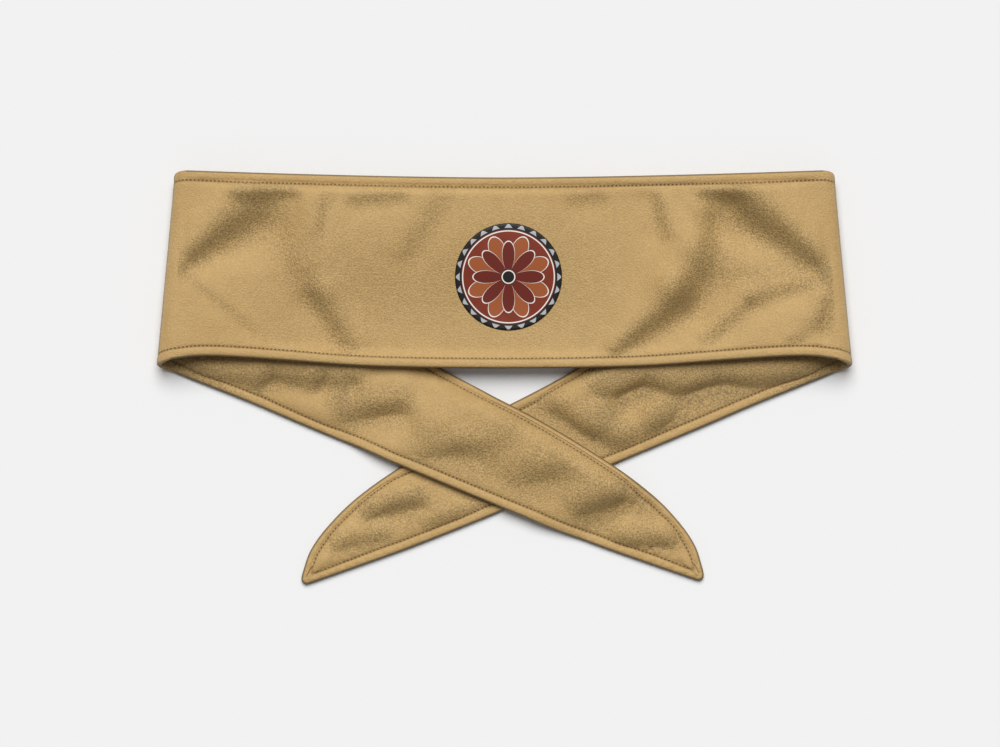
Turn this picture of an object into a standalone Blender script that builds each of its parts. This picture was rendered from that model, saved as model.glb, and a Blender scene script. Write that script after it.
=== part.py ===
"""A tie headband lying flat: a wide front panel whose two ends fold under and run out as tapered ties that cross.

The band is one long strip of two cloth layers, sewn together round the edge, turned right side out and
topstitched. Over the panel the outer layer is on top. Both ends fold under, so on the ties the outer layer is
against the table and the inner layer is on top. The left tie lies over the right one.
X runs along the panel, Y from the tips of the ties to the panel, and Z up from the table.
"""

import math
from typing import NamedTuple

import bmesh
import bpy
from mathutils import Vector


class Tie(NamedTuple):
    """One tie, from the lower corner of its fold to where its edges would meet in a sharp tip."""

    side: int  # -1 at the left, 1 at the right
    length: float
    width: float  # where the two ties cross
    slant: float  # below the panel's own direction


# The folded strip seen from above, in metres
LOOP_WIDTH = 0.312  # across the two lower fold corners
LOOP_TOP_WIDTH = 0.296  # across the two upper fold corners
BAND_HEIGHT = 0.0876  # the panel's highest point above the lower fold corners
UPPER_DIP = 0.0032  # how far the panel's upper edge dips in the middle
LOWER_ARCH = 0.0043  # how far the panel's lower edge arches up beside each fold
UPPER_TURN_DROP = 0.0068  # how far the upper edge comes down on its way round a fold
TIE_LENGTH = 0.2653
TIE_WIDTH = 0.0445
TIE_SLANT = math.radians(21.64)
TIP_RADIUS = 0.0024
# The right tie lies a little straighter than the left one, its seams rolled under
RIGHT_TIE_LONGER = 0.0023
RIGHT_TIE_NARROWER = 0.0018
RIGHT_TIE_STEEPER = math.radians(0.21)

# The layers, and the height that the folds hold the panel at
CLOTH = 0.001
LAYER_GAP = 0.0003
UPPER_FOLD_RADIUS = 0.0058  # outside, at the upper edge
LOWER_FOLD_RADIUS = 0.0072  # outside, at the lower edge
LOOP_CLEARANCE = 0.0056  # between a tie and the middle of the panel
CREASE_DEPTH = 0.0011
TIE_WAVE = 0.0005
WAVE_RAMP = 0.012  # from where a tie comes out from under the panel to its full waves

# The sewn edge
STITCH_INSET = 0.0045
EDGE_PUFF = 0.0002  # what the turned seam allowance adds to each face
EDGE_ROUND = 0.00035
STITCH_SINK = 0.00025

# The crossing
CROSSING_MARGIN = 0.006
CROSSING_RAMP = 0.020

# The printed emblem
EMBLEM_RADIUS = 0.024
EMBLEM_SHIFT = 0.0018  # its centre to the right of the panel's
EMBLEM_DROP = 0.004  # its centre below half the panel's height
EMBLEM_FILM = 0.0004
FILM_CLEARANCE = 0.0004

# How finely the cloth is divided
TIE_SECTIONS = 24
FOLD_SECTIONS = 8
PANEL_SECTIONS = 28
EDGE_COLUMNS = 4
INNER_COLUMNS = 6
OUTLINE_POINTS = 200
TIP_ARC_POINTS = 6
EMBLEM_SIDES = 48
TIP_SHARE = 0.005  # where a tie's last section is, as a share of its edge's length

LEFT_TIE = Tie(side=-1, length=TIE_LENGTH, width=TIE_WIDTH, slant=TIE_SLANT)
RIGHT_TIE = Tie(
    side=1,
    length=TIE_LENGTH + RIGHT_TIE_LONGER,
    width=TIE_WIDTH - RIGHT_TIE_NARROWER,
    slant=TIE_SLANT + RIGHT_TIE_STEEPER,
)
HALF_PANEL_TOP = LOOP_TOP_WIDTH / 2 - UPPER_FOLD_RADIUS
HALF_PANEL_BOTTOM = LOOP_WIDTH / 2 - LOWER_FOLD_RADIUS
TWO_LAYERS = 2 * CLOTH + LAYER_GAP
PANEL_MIDDLE_HEIGHT = 2 * TWO_LAYERS + LOOP_CLEARANCE
CROSSING_LIFT = TWO_LAYERS + 2 * EDGE_PUFF + LAYER_GAP
COLUMN_INSETS = [STITCH_INSET * k / 2 for k in range(EDGE_COLUMNS)]
COLUMN_COUNT = 2 * EDGE_COLUMNS + INNER_COLUMNS

# Share of the half panel from its middle, share of LOWER_ARCH
LOWER_EDGE = ((0.0, -0.3), (0.25, -0.22), (0.45, 0.0), (0.68, 0.6), (0.85, 0.98), (0.93, 0.98), (1.0, 0.7))
PANEL_DIP_POWER = 1.6
PANEL_SAG_POWER = 1.6

# Share of a tie's length from the fold's lower corner, share of its width above the line from corner to tip
TIE_LOWER_EDGE = ((0.17, 0.0), (0.28, -0.016), (0.66, -0.052), (0.80, -0.05), (0.90, -0.028), (1.0, 0.0))
TIE_UPPER_EDGE = (
    (0.20, 1.35),
    (0.33, 1.165),
    (0.465, 1.018),
    (0.64, 0.908),
    (0.78, 0.763),
    (0.86, 0.635),
    (0.92, 0.473),
    (0.96, 0.31),
    (0.985, 0.13),
    (1.0, 0.0),
)

# Creases of the panel: start and end as shares of the half panel from its middle and of its height down from the
# upper edge, half width as a share of that height, and drop as a share of CREASE_DEPTH. The cloth is high to the
# left of the line as it runs, and low to its right.
PANEL_CREASES = (
    (-0.98, 0.46, -0.62, 0.06, 0.085, 1.0),
    (-0.46, 0.94, -0.66, 0.34, 0.07, 0.7),
    (-0.55, 0.38, -0.55, 0.10, 0.05, 0.4),
    (-0.30, 0.42, -0.40, 0.08, 0.07, 0.4),
    (0.70, 0.04, 0.98, 0.52, 0.085, 1.0),
    (0.62, 0.28, 0.36, 0.90, 0.085, 1.0),
    (0.94, 0.54, 0.62, 0.84, 0.06, 0.6),
    (0.46, 0.08, 0.46, 0.36, 0.05, 0.4),
)
# Creases of a tie: the same columns, along the tie's length and up across its width
TIE_CREASES = (
    (0.22, 0.55, 0.44, 0.16, 0.16, 1.0),
    (0.38, 0.85, 0.44, 0.45, 0.12, 0.8),
    (0.74, 0.30, 0.86, 0.50, 0.14, 0.9),
    (0.84, 0.10, 0.95, 0.26, 0.10, 0.7),
)


class Section(NamedTuple):
    """One line across the strip."""

    upper: Vector
    lower: Vector
    part: str  # panel, fold or tie
    share: float  # of the half panel, of the turn round the fold, or of the tie's edge from its tip
    tie: Tie


def smoothstep(value):
    """0 below 0, 1 above 1, and a smooth rise between."""
    value = min(1.0, max(0.0, value))
    return value * value * (3 - 2 * value)


def spline_value(table, at):
    """The smooth curve through a table of two columns, read at a value of its first column."""
    k = max([i for i in range(len(table) - 1) if table[i][0] <= at], default=0)
    slopes = []
    for i in (k, k + 1):
        before, after = table[max(i - 1, 0)], table[min(i + 1, len(table) - 1)]
        slopes.append((after[1] - before[1]) / (after[0] - before[0]))
    (x0, y0), (x1, y1) = table[k], table[k + 1]
    span = x1 - x0
    s = min(1.0, max(0.0, (at - x0) / span))
    rise = s * s * (3 - 2 * s)
    return y0 + (y1 - y0) * rise + span * s * (1 - s) * ((1 - s) * slopes[0] - s * slopes[1])


def point_along(line, share):
    """The point at a share of a polyline's length."""
    lengths = [(b - a).length for a, b in zip(line, line[1:])]
    left = share * sum(lengths)
    for a, b, length in zip(line, line[1:], lengths):
        if left <= length:
            return a.lerp(b, left / length)
        left -= length
    return line[-1].copy()


def to_tie(tie, point):
    """A place's shares along a tie's length and across its width, from the fold's lower corner."""
    x, y = tie.side * -point.x + LOOP_WIDTH / 2, point.y
    along = x * math.cos(tie.slant) - y * math.sin(tie.slant)
    across = x * math.sin(tie.slant) + y * math.cos(tie.slant)
    return along / tie.length, across / tie.width


def from_tie(tie, along, across):
    """The place on the table at shares along a tie's length and across its width."""
    u, v = along * tie.length, across * tie.width
    x = u * math.cos(tie.slant) + v * math.sin(tie.slant) - LOOP_WIDTH / 2
    y = v * math.cos(tie.slant) - u * math.sin(tie.slant)
    return Vector((tie.side * -x, y, 0))


def fold_section(tie, turn):
    """The strip's upper and lower edge part way round a fold: turn 0 is the panel's end and 1 the tie's start."""
    angle = math.pi * turn
    lip = LOWER_ARCH * LOWER_EDGE[-1][1]
    upper = Vector((
        tie.side * (HALF_PANEL_TOP + UPPER_FOLD_RADIUS * math.sin(angle)),
        BAND_HEIGHT - UPPER_TURN_DROP * turn**2,
        UPPER_FOLD_RADIUS * (1 + math.cos(angle)),
    ))
    lower = Vector((
        tie.side * (HALF_PANEL_BOTTOM + LOWER_FOLD_RADIUS * math.sin(angle)),
        lip * (1 - 2 * turn),
        LOWER_FOLD_RADIUS * (1 + math.cos(angle)),
    ))
    return Section(upper, lower, "fold", turn, tie)


def panel_section(share):
    """The panel's upper and lower edge at a share of its half length, -1 at the left fold and 1 at the right."""
    away = abs(share)
    rise = (1 - math.cos(math.pi * away**PANEL_SAG_POWER)) / 2
    upper = Vector((
        HALF_PANEL_TOP * share,
        BAND_HEIGHT - UPPER_DIP * (1 - away**PANEL_DIP_POWER),
        PANEL_MIDDLE_HEIGHT + (2 * UPPER_FOLD_RADIUS - PANEL_MIDDLE_HEIGHT) * rise,
    ))
    lower = Vector((
        HALF_PANEL_BOTTOM * share,
        LOWER_ARCH * spline_value(LOWER_EDGE, away),
        PANEL_MIDDLE_HEIGHT + (2 * LOWER_FOLD_RADIUS - PANEL_MIDDLE_HEIGHT) * rise,
    ))
    return Section(upper, lower, "panel", share, LEFT_TIE if share < 0 else RIGHT_TIE)


def tie_edges(tie):
    """A tie's upper and lower edge on the table, each from the fold to the middle of the rounded tip."""
    start = fold_section(tie, 1.0)
    edges = []
    for first, table in ((start.upper, TIE_UPPER_EDGE), (start.lower, TIE_LOWER_EDGE)):
        rows = (to_tie(tie, first), *table)
        shares = [rows[0][0] + (1 - rows[0][0]) * k / OUTLINE_POINTS for k in range(OUTLINE_POINTS + 1)]
        edges.append([from_tie(tie, share, spline_value(rows, share)) for share in shares])
    return round_tip(*edges)


def round_tip(upper, lower):
    """Both edges cut back from the sharp tip where they meet, and led on to the middle of its rounding."""
    tip = upper[-1]
    reach = 1 - 3 * TIP_RADIUS / TIE_LENGTH
    ways = [(point_along(edge, reach) - tip).normalized() for edge in (upper, lower)]
    half_angle = ways[0].angle(ways[1]) / 2
    inwards = (ways[0] + ways[1]).normalized()
    centre = tip + inwards * TIP_RADIUS / math.sin(half_angle)
    cut = TIP_RADIUS / math.tan(half_angle)
    rounded = []
    for edge, way in zip((upper, lower), ways):
        from_centre = (tip + way * cut - centre).normalized()
        arc = [from_centre.slerp(-inwards, k / TIP_ARC_POINTS) for k in range(TIP_ARC_POINTS + 1)]
        rounded.append([p for p in edge if (p - tip).length > cut] + [centre + TIP_RADIUS * a for a in arc])
    return rounded


def end_sections(tie):
    """The sections of one tie and its fold, from the tip to the panel."""
    upper, lower = tie_edges(tie)
    shares = [TIP_SHARE + (1 - TIP_SHARE) * (k / TIE_SECTIONS) ** 1.5 for k in range(TIE_SECTIONS)]
    sections = [Section(point_along(upper, 1 - s), point_along(lower, 1 - s), "tie", s, tie) for s in shares]
    return sections + [fold_section(tie, 1 - k / FOLD_SECTIONS) for k in range(FOLD_SECTIONS)]


def strip_sections():
    """Every section of the strip, from the left tie's tip to the right tie's."""
    panel = [panel_section(2 * k / PANEL_SECTIONS - 1) for k in range(PANEL_SECTIONS + 1)]
    return end_sections(LEFT_TIE) + panel + end_sections(RIGHT_TIE)[::-1]


def columns_across(section, before, after):
    """(share of the way from the upper edge to the lower, distance in from the strip's edge) for each column."""
    across = section.lower - section.upper
    from_tip = (section.share - TIP_SHARE) * section.tie.length if section.part == "tie" else math.inf
    sides = []
    for way in (after.upper - before.upper, after.lower - before.lower):
        squareness = max(0.5, across.normalized().cross(way.normalized()).length)
        squeeze = min(1.0, 0.43 * across.length * squareness / COLUMN_INSETS[-1])
        insets = [min(squeeze * inset, from_tip) for inset in COLUMN_INSETS]
        shares = [squeeze * inset / squareness / across.length for inset in COLUMN_INSETS]
        sides.append(list(zip(shares, insets)))
    upper_side, lower_side = sides[0], [(1 - share, inset) for share, inset in sides[1][::-1]]
    (first, inset), (last, _) = upper_side[-1], lower_side[0]
    steps = [(k + 1) / (INNER_COLUMNS + 1) for k in range(INNER_COLUMNS)]
    return upper_side + [(first + (last - first) * step, inset) for step in steps] + lower_side


def crease_step(creases, along, across, length, width):
    """How far the creases lift a place of the cloth: each is a ridge on one side of its line, a dip on the other."""
    lift = 0.0
    for from_along, from_across, to_along, to_across, half_width, drop in creases:
        start = Vector((from_along * length, from_across * width))
        line = Vector((to_along * length, to_across * width)) - start
        here = Vector((along * length, across * width)) - start
        share = here.dot(line) / line.length_squared
        off = here.cross(line.normalized()) / (half_width * width)
        fade = smoothstep((share + 0.25) / 0.4) * smoothstep((1.25 - share) / 0.4)
        lift += drop * fade * off * math.exp((1 - off * off) / 2)
    return lift


def near_tie(tie, point):
    """1 on a tie and close around it, falling to 0 further out."""
    along, across = to_tie(tie, point)
    above = (across - spline_value(TIE_UPPER_EDGE, along)) * tie.width
    below = (spline_value(TIE_LOWER_EDGE, along) - across) * tie.width
    beyond = (along - 1) * tie.length
    outside = max(above, below, beyond, 0.0)
    return 1 - smoothstep((outside - CROSSING_MARGIN) / CROSSING_RAMP)


def outer_face(sections):
    """The smooth outer face of the whole strip: for each section, its points and their distances from the edge."""
    rows = []
    for i, section in enumerate(sections):
        before, after = sections[max(i - 1, 0)], sections[min(i + 1, len(sections) - 1)]
        row = []
        for share, inset in columns_across(section, before, after):
            point = section.upper.lerp(section.lower, share)
            if section.tie is LEFT_TIE and section.part == "tie":
                point.z += CROSSING_LIFT * near_tie(RIGHT_TIE, point)
            if section.part == "panel":
                calm = smoothstep((1 - abs(section.share)) / 0.12) * smoothstep(inset / COLUMN_INSETS[-1])
                step = crease_step(PANEL_CREASES, section.share, share, HALF_PANEL_BOTTOM, BAND_HEIGHT)
                point.z += CREASE_DEPTH * calm * step
            row.append((point, inset))
        rows.append(row)
    return rows


def inward_normals(rows):
    """The way from the outer face to the inner one, at each point of the outer face."""
    last_row, last_column = len(rows) - 1, COLUMN_COUNT - 1
    normals = []
    for i in range(len(rows)):
        normals.append([])
        for j in range(COLUMN_COUNT):
            along = rows[min(i + 1, last_row)][j][0] - rows[max(i - 1, 0)][j][0]
            across = rows[i][min(j + 1, last_column)][0] - rows[i][max(j - 1, 0)][0]
            normals[-1].append(along.cross(across).normalized())
    return normals


def tie_wave(section, point):
    """How far a tie's upper layer stands off its lower one, which lies flat."""
    if section.part != "tie":
        return 0.0
    along, across = to_tie(section.tie, point)
    step = crease_step(TIE_CREASES, along, across, section.tie.length, section.tie.width)
    other = RIGHT_TIE if section.tie is LEFT_TIE else LEFT_TIE
    pressed = 1 - (1 - near_tie(other, point)) * smoothstep(-point.y / WAVE_RAMP)
    return TIE_WAVE * max(0.0, 1 + step) * (1 - pressed)


def layer_depths(section, point, inset):
    """Depths of the four faces of the two layers, in from the smooth outer face."""
    puff = EDGE_PUFF * max(0.0, 1 - abs(inset / STITCH_INSET - 0.5) * 2)
    sink = STITCH_SINK * max(0.0, 1 - abs(inset / STITCH_INSET - 1) * 2)
    sink += EDGE_ROUND * max(0.0, 1 - inset / STITCH_INSET * 2) ** 2
    on_table = {"panel": 0.0, "fold": section.share, "tie": 1.0}[section.part]
    wave = tie_wave(section, point) * smoothstep((inset / STITCH_INSET - 1) * 2)
    return (
        sink - puff * (1 - on_table),
        CLOTH,
        CLOTH + LAYER_GAP + wave,
        TWO_LAYERS + wave + puff * (1 + on_table) - sink,
    )


def cloth_faces():
    """The four faces of the two layers, each a list of rows of points, from the outermost to the innermost."""
    sections = strip_sections()
    face = outer_face(sections)
    faces = [[], [], [], []]
    for section, row, normals in zip(sections, face, inward_normals(face)):
        for made in faces:
            made.append([])
        for (point, inset), normal in zip(row, normals):
            for made, depth in zip(faces, layer_depths(section, point, inset)):
                made[-1].append(point + normal * depth)
    return faces


def cloth_layer(name, near, far, colour):
    """One layer of the strip, made as a flat sheet with a thickness and then laid along the strip's two faces."""
    bm = bmesh.new()
    rows = len(near)
    bmesh.ops.create_grid(bm, x_segments=COLUMN_COUNT - 1, y_segments=rows - 1, size=0.5)
    bmesh.ops.triangulate(bm, faces=bm.faces, quad_method="FIXED")
    copied = bmesh.ops.extrude_face_region(bm, geom=bm.faces[:])
    far_side = {v for v in copied["geom"] if isinstance(v, bmesh.types.BMVert)}
    for v in bm.verts:
        row = round((v.co.y + 0.5) * (rows - 1))
        column = round((v.co.x + 0.5) * (COLUMN_COUNT - 1))
        v.co = (far if v in far_side else near)[row][column]
    bmesh.ops.triangulate(bm, faces=[f for f in bm.faces if len(f.verts) > 3])
    bmesh.ops.recalc_face_normals(bm, faces=bm.faces)
    return add_object(name, bm, colour)


def panel_height(x, y):
    """The height of the panel's smooth outer face above a place on the table."""
    share = x / HALF_PANEL_BOTTOM
    for _ in range(4):
        section = panel_section(share)
        down = (section.upper.y - y) / (section.upper.y - section.lower.y)
        share = x / (HALF_PANEL_TOP + (HALF_PANEL_BOTTOM - HALF_PANEL_TOP) * down)
    return section.upper.lerp(section.lower, down).z


def printed_emblem(name, colour):
    """The round print on the middle of the panel, a thin film that follows the cloth."""
    bm = bmesh.new()
    bmesh.ops.create_cone(
        bm, cap_ends=True, cap_tris=True, segments=EMBLEM_SIDES, radius1=EMBLEM_RADIUS, radius2=EMBLEM_RADIUS, depth=1
    )
    for v in bm.verts:
        x, y = EMBLEM_SHIFT + v.co.x, BAND_HEIGHT / 2 - EMBLEM_DROP + v.co.y
        film = EMBLEM_FILM if v.co.z > 0 else 0
        v.co = Vector((x, y, panel_height(x, y) + FILM_CLEARANCE + film))
    return add_object(name, bm, colour)


def add_object(name, bm, colour):
    """The finished mesh as an object with its own material."""
    mesh = bpy.data.meshes.new(name)
    bm.to_mesh(mesh)
    bm.free()
    made = bpy.data.objects.new(name, mesh)
    bpy.context.scene.collection.objects.link(made)
    material = bpy.data.materials.new(name)
    material.use_nodes = True
    shader = material.node_tree.nodes["Principled BSDF"]
    shader.inputs["Base Color"].default_value = (*colour, 1)
    shader.inputs["Roughness"].default_value = 0.6
    shader.inputs["Metallic"].default_value = 0.0
    mesh.materials.append(material)
    return made


def centre_on_origin(objects):
    """Moves the meshes along Y, so that the whole lies evenly about the origin."""
    places = [v.co.y for o in objects for v in o.data.vertices]
    middle = (min(places) + max(places)) / 2
    for o in objects:
        for v in o.data.vertices:
            v.co.y -= middle


def main():
    for old in list(bpy.data.objects):
        bpy.data.objects.remove(old)
    tan_cloth = (0.56, 0.38, 0.15)
    rust_print = (0.22, 0.024, 0.015)
    outermost, outer_back, inner_back, innermost = cloth_faces()
    made = [
        cloth_layer("outer_layer", outermost, outer_back, tan_cloth),
        cloth_layer("inner_layer", inner_back, innermost, tan_cloth),
        printed_emblem("printed_emblem", rust_print),
    ]
    centre_on_origin(made)


main()
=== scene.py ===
import math
from typing import NamedTuple

import bmesh
import bpy
from mathutils import Matrix, Vector, noise
from mathutils.bvhtree import BVHTree
from mathutils.kdtree import KDTree


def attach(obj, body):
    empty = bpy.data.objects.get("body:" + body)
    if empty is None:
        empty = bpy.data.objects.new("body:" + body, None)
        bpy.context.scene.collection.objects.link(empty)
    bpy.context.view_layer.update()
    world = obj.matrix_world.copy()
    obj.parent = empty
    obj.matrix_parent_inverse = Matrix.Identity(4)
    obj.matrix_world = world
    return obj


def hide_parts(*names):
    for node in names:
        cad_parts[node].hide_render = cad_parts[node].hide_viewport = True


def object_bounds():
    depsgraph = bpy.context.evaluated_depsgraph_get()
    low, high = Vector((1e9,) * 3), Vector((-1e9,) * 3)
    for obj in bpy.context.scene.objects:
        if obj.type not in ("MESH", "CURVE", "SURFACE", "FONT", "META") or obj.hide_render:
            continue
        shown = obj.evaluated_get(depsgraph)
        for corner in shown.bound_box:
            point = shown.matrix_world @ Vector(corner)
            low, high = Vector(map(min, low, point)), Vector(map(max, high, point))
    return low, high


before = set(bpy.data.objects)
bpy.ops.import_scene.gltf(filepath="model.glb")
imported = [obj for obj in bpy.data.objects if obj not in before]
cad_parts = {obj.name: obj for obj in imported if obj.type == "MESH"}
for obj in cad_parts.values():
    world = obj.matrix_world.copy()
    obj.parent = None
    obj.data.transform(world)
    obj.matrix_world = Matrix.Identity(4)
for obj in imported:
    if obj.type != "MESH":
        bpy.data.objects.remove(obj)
cad_box = [[float(n) for n in corner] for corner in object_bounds()]


# Outer cloth. The band is a strip of two layers, wide in the front panel and tapered into a tie at each
# end. This layer faces away from the head. It is brushed knitted polyester, bagged out with the inner
# layer and topstitched, and it lies with both ends turned under and the left tie over the right.


class Tie(NamedTuple):
    """One tie, from the lower corner of its fold to where its edges would meet in a sharp tip."""

    side: int
    length: float
    width: float
    slant: float


class Section(NamedTuple):
    """One line across the strip, and its share of the half panel, of a fold's turn or of a tie."""

    upper: Vector
    lower: Vector
    part: str
    share: float
    tie: Tie


class Spot(NamedTuple):
    """A point of the strip's smooth outer face."""

    place: Vector
    share: float  # of the way from the upper edge to the lower
    inset: float  # from the strip's edge
    run: float  # along the strip
    crease_shade: float  # 1 where a crease is steepest, where the cloth is painted darkest as shade
    edge_shade: float  # 1 where a dark line of painted shade runs along the edge or down a fold


# The strip as it lies: the panel, the turns at its ends, and the ties beneath it. All in metres.
LOOP_WIDTH = 0.312
LOOP_TOP_WIDTH = 0.296
BAND_HEIGHT = 0.0876
UPPER_DIP = 0.0032
LOWER_ARCH = 0.0043
UPPER_TURN_DROP = 0.0068
UPPER_FOLD_RADIUS = 0.0058
LOWER_FOLD_RADIUS = 0.0072
PANEL_MIDDLE_HEIGHT = 0.0102
PANEL_POWER = 1.6
TIP_RADIUS = 0.0024
LEFT_TIE = Tie(side=-1, length=0.2653, width=0.0445, slant=math.radians(21.64))
RIGHT_TIE = Tie(side=1, length=0.2676, width=0.0427, slant=math.radians(21.85))
HALF_PANEL_TOP = LOOP_TOP_WIDTH / 2 - UPPER_FOLD_RADIUS
HALF_PANEL_BOTTOM = LOOP_WIDTH / 2 - LOWER_FOLD_RADIUS
CORNER_Y = cad_box[1][1] - BAND_HEIGHT

# How far the left tie is lifted where it lies over the right one, how far out, and over what ramp
CROSSING_LIFT = 0.0034
CROSSING_MARGIN = 0.006
CROSSING_RAMP = 0.020

# Share of the half panel from its middle, share of LOWER_ARCH
LOWER_EDGE = (
    (0.0, -0.3),
    (0.25, -0.22),
    (0.45, 0.0),
    (0.68, 0.6),
    (0.85, 0.98),
    (0.93, 0.98),
    (1.0, 0.7),
)
# Share of a tie's length from the fold's lower corner, share of its width above the line to the tip
TIE_LOWER_EDGE = (
    (0.17, 0.0),
    (0.28, -0.016),
    (0.66, -0.052),
    (0.80, -0.05),
    (0.90, -0.028),
    (1.0, 0.0),
)
TIE_UPPER_EDGE = (
    (0.20, 1.35),
    (0.33, 1.165),
    (0.465, 1.018),
    (0.64, 0.908),
    (0.78, 0.763),
    (0.86, 0.635),
    (0.92, 0.473),
    (0.96, 0.31),
    (0.985, 0.13),
    (1.0, 0.0),
)

# The layers' thickness, their rolled edge, and the relief that sewing gives the face beside it
LAYER = 0.0011
TWO_LAYERS = 0.0023
EDGE_ROLL = 0.0007
EDGE_DROP = 0.00105
STITCH_INSET = 0.0045
STITCH_LENGTH = 0.0018
RIDGE_HEIGHT = 0.00055
RIDGE_RISE = 0.0016
RIDGE_INSET = 0.0024
RIDGE_FALL = 0.0020
GROOVE_DEPTH = 0.0004
GROOVE_HALF_WIDTH = 0.0006
SHOULDER_HEIGHT = 0.00015
SHOULDER_INSET = 0.0068
SHOULDER_HALF_WIDTH = 0.0018
PUCKER_DEPTH = 0.00022
PUCKER_SPACING = 0.0046
PUCKER_SWAY = 0.8
PUCKER_WANDER = 0.012
PUCKER_PATCH = 0.03
PUCKER_RISE = 0.002
PUCKER_INSET = 0.005
PUCKER_REACH = 0.011
RIPPLE_DEPTH = 0.0003
RIPPLE_LENGTH = 0.022

# The steepest crease, and how high a tie's cloth lies between its creases
CREASE_SLOPE = math.tan(math.radians(41))
TIE_WAVE = 0.0022

# Creases, by where they lie in plan: from x, y to x, y in mm, the half width at each end in mm, and how
# steep each is beside the steepest. Seen from its first end, a crease is a ridge on the left of its line
# and a dip on the right.
PANEL_CREASES = (
    (-147.5, 48.5, -106.0, 79.0, 3.5, 11.5, 0.95),
    (-122.0, 81.5, -93.0, 83.0, 3.5, 3.5, 0.6),
    (-144.0, 47.0, -111.0, 21.0, 2.5, 2.5, 0.28),
    (-99.0, 62.0, -84.0, 34.0, 8.0, 7.0, 0.36),
    (-86.0, 38.0, -69.0, 12.0, 5.0, 5.5, 0.6),
    (-84.0, 64.0, -80.5, 81.0, 3.0, 3.5, 0.5),
    (-69.5, 79.0, -44.5, 82.0, 3.5, 4.0, 0.5),
    (-45.0, 54.0, -27.0, 82.0, 5.0, 6.0, 0.3),
    (-92.0, 42.0, 30.0, 45.0, 30.0, 30.0, 0.2),
    (29.0, 80.0, 44.0, 82.0, 5.0, 5.0, 0.35),
    (102.0, 79.5, 147.0, 46.5, 11.5, 4.0, 1.0),
    (86.0, 47.0, 136.0, 46.0, 9.0, 6.0, 0.3),
    (87.0, 82.5, 106.0, 82.0, 3.0, 4.0, 0.7),
    (49.0, 10.5, 82.0, 35.5, 3.0, 9.0, 0.95),
    (81.0, 35.0, 93.0, 58.0, 9.0, 9.0, 0.65),
    (91.0, 56.0, 93.5, 78.0, 6.0, 6.0, 0.4),
    (90.0, 16.0, 111.5, 35.0, 3.5, 4.5, 0.6),
    (109.5, 34.0, 145.0, 44.0, 4.0, 2.5, 0.5),
    (141.0, 22.0, 152.0, 48.0, 6.0, 5.0, 0.8),
    (67.5, 82.0, 72.5, 63.0, 3.5, 4.0, 0.6),
    (127.0, 16.0, 134.0, 18.0, 3.0, 3.0, 0.5),
)
TIE_CREASES = {
    LEFT_TIE: (
        (-140.0, 1.0, -64.0, -1.0, 4.5, 6.0, 0.8),
        (-73.0, -17.0, -44.0, -12.5, 7.5, 7.5, 0.95),
        (-74.5, -12.0, -71.0, 1.0, 4.0, 4.0, 0.6),
        (-84.5, -6.0, -82.0, 3.0, 3.0, 3.0, 0.8),
        (-109.0, -5.0, -106.0, 3.0, 4.0, 4.0, 0.9),
        (-38.0, -36.5, -18.0, -30.0, 4.0, 4.0, 0.35),
        (-15.5, -31.0, 7.0, -21.0, 6.5, 6.5, 0.35),
        (-38.0, -28.0, 48.0, -51.0, 14.0, 14.0, 0.45),
        (7.0, -50.5, 25.0, -37.0, 7.5, 7.5, 0.35),
        (34.0, -61.5, 57.0, -50.5, 6.5, 6.5, 0.85),
        (55.0, -51.0, 71.0, -60.0, 5.0, 5.0, 0.6),
        (49.5, -75.5, 78.0, -73.0, 5.0, 4.5, 0.85),
        (30.0, -70.0, 66.0, -66.0, 9.0, 8.0, 0.3),
    ),
    RIGHT_TIE: (
        (40.0, -3.5, 138.0, 1.0, 7.0, 5.0, 1.15),
        (12.0, -7.0, 48.0, -30.0, 8.0, 8.0, 0.75),
        (42.0, -24.0, 60.0, 2.0, 6.0, 9.0, 0.9),
        (70.0, -21.0, 94.0, 2.0, 8.0, 10.0, 0.9),
        (50.0, -31.0, 74.0, -19.0, 6.0, 7.0, 0.75),
        (95.0, -10.0, 142.0, 0.0, 8.0, 6.0, 0.4),
        (-64.0, -60.5, -36.5, -53.0, 4.5, 5.0, 0.75),
        (-77.5, -75.0, -53.0, -71.5, 4.5, 4.0, 0.6),
        (-34.5, -68.0, -6.0, -57.0, 4.0, 4.0, 0.6),
        (-62.0, -66.0, -8.0, -52.0, 10.0, 10.0, 0.3),
    ),
}

# The panel stays above TIE_ROOM, to clear the ties beneath it, and a tie's waves stay below HIGHEST_WAVE
TIE_ROOM = 0.0058
HIGHEST_WAVE = 0.0050
EASE = 0.0009

# The mesh: columns beside each edge by their distance in from it in mm, and the share of the strip's
# width that they may take up, then the columns between them, and the rows along each part of the strip
EDGE_INSETS = (
    *(0, 0.1, 0.3, 0.6, 1.0, 1.4, 1.8, 2.2, 2.6, 3.0),
    *(3.4, 3.8, 4.2, 4.5, 4.9, 5.4, 6.2, 7.4, 9.0),
)
EDGE_SHARE = 0.43
MIDDLE_COLUMNS = 28
TIE_ROWS = 170
FOLD_ROWS = 16
PANEL_ROWS = 184
TIP_SHARE = 0.003
TIP_CROWDING = 1.25
EDGE_STEPS = 700
FINDER_STEPS = 3000


def smoothstep(value):
    """0 below 0, 1 above 1, and a smooth rise between."""
    value = min(1.0, max(0.0, value))
    return value * value * (3 - 2 * value)


def spline_value(table, at):
    """The smooth curve through a table of two columns, read at a value of its first column."""
    k = max([i for i in range(len(table) - 1) if table[i][0] <= at], default=0)
    slopes = []
    for i in (k, k + 1):
        before, after = table[max(i - 1, 0)], table[min(i + 1, len(table) - 1)]
        slopes.append((after[1] - before[1]) / (after[0] - before[0]))
    (x0, y0), (x1, y1) = table[k], table[k + 1]
    s = min(1.0, max(0.0, (at - x0) / (x1 - x0)))
    rise = s * s * (3 - 2 * s)
    return y0 + (y1 - y0) * rise + (x1 - x0) * s * (1 - s) * ((1 - s) * slopes[0] - s * slopes[1])


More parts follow.
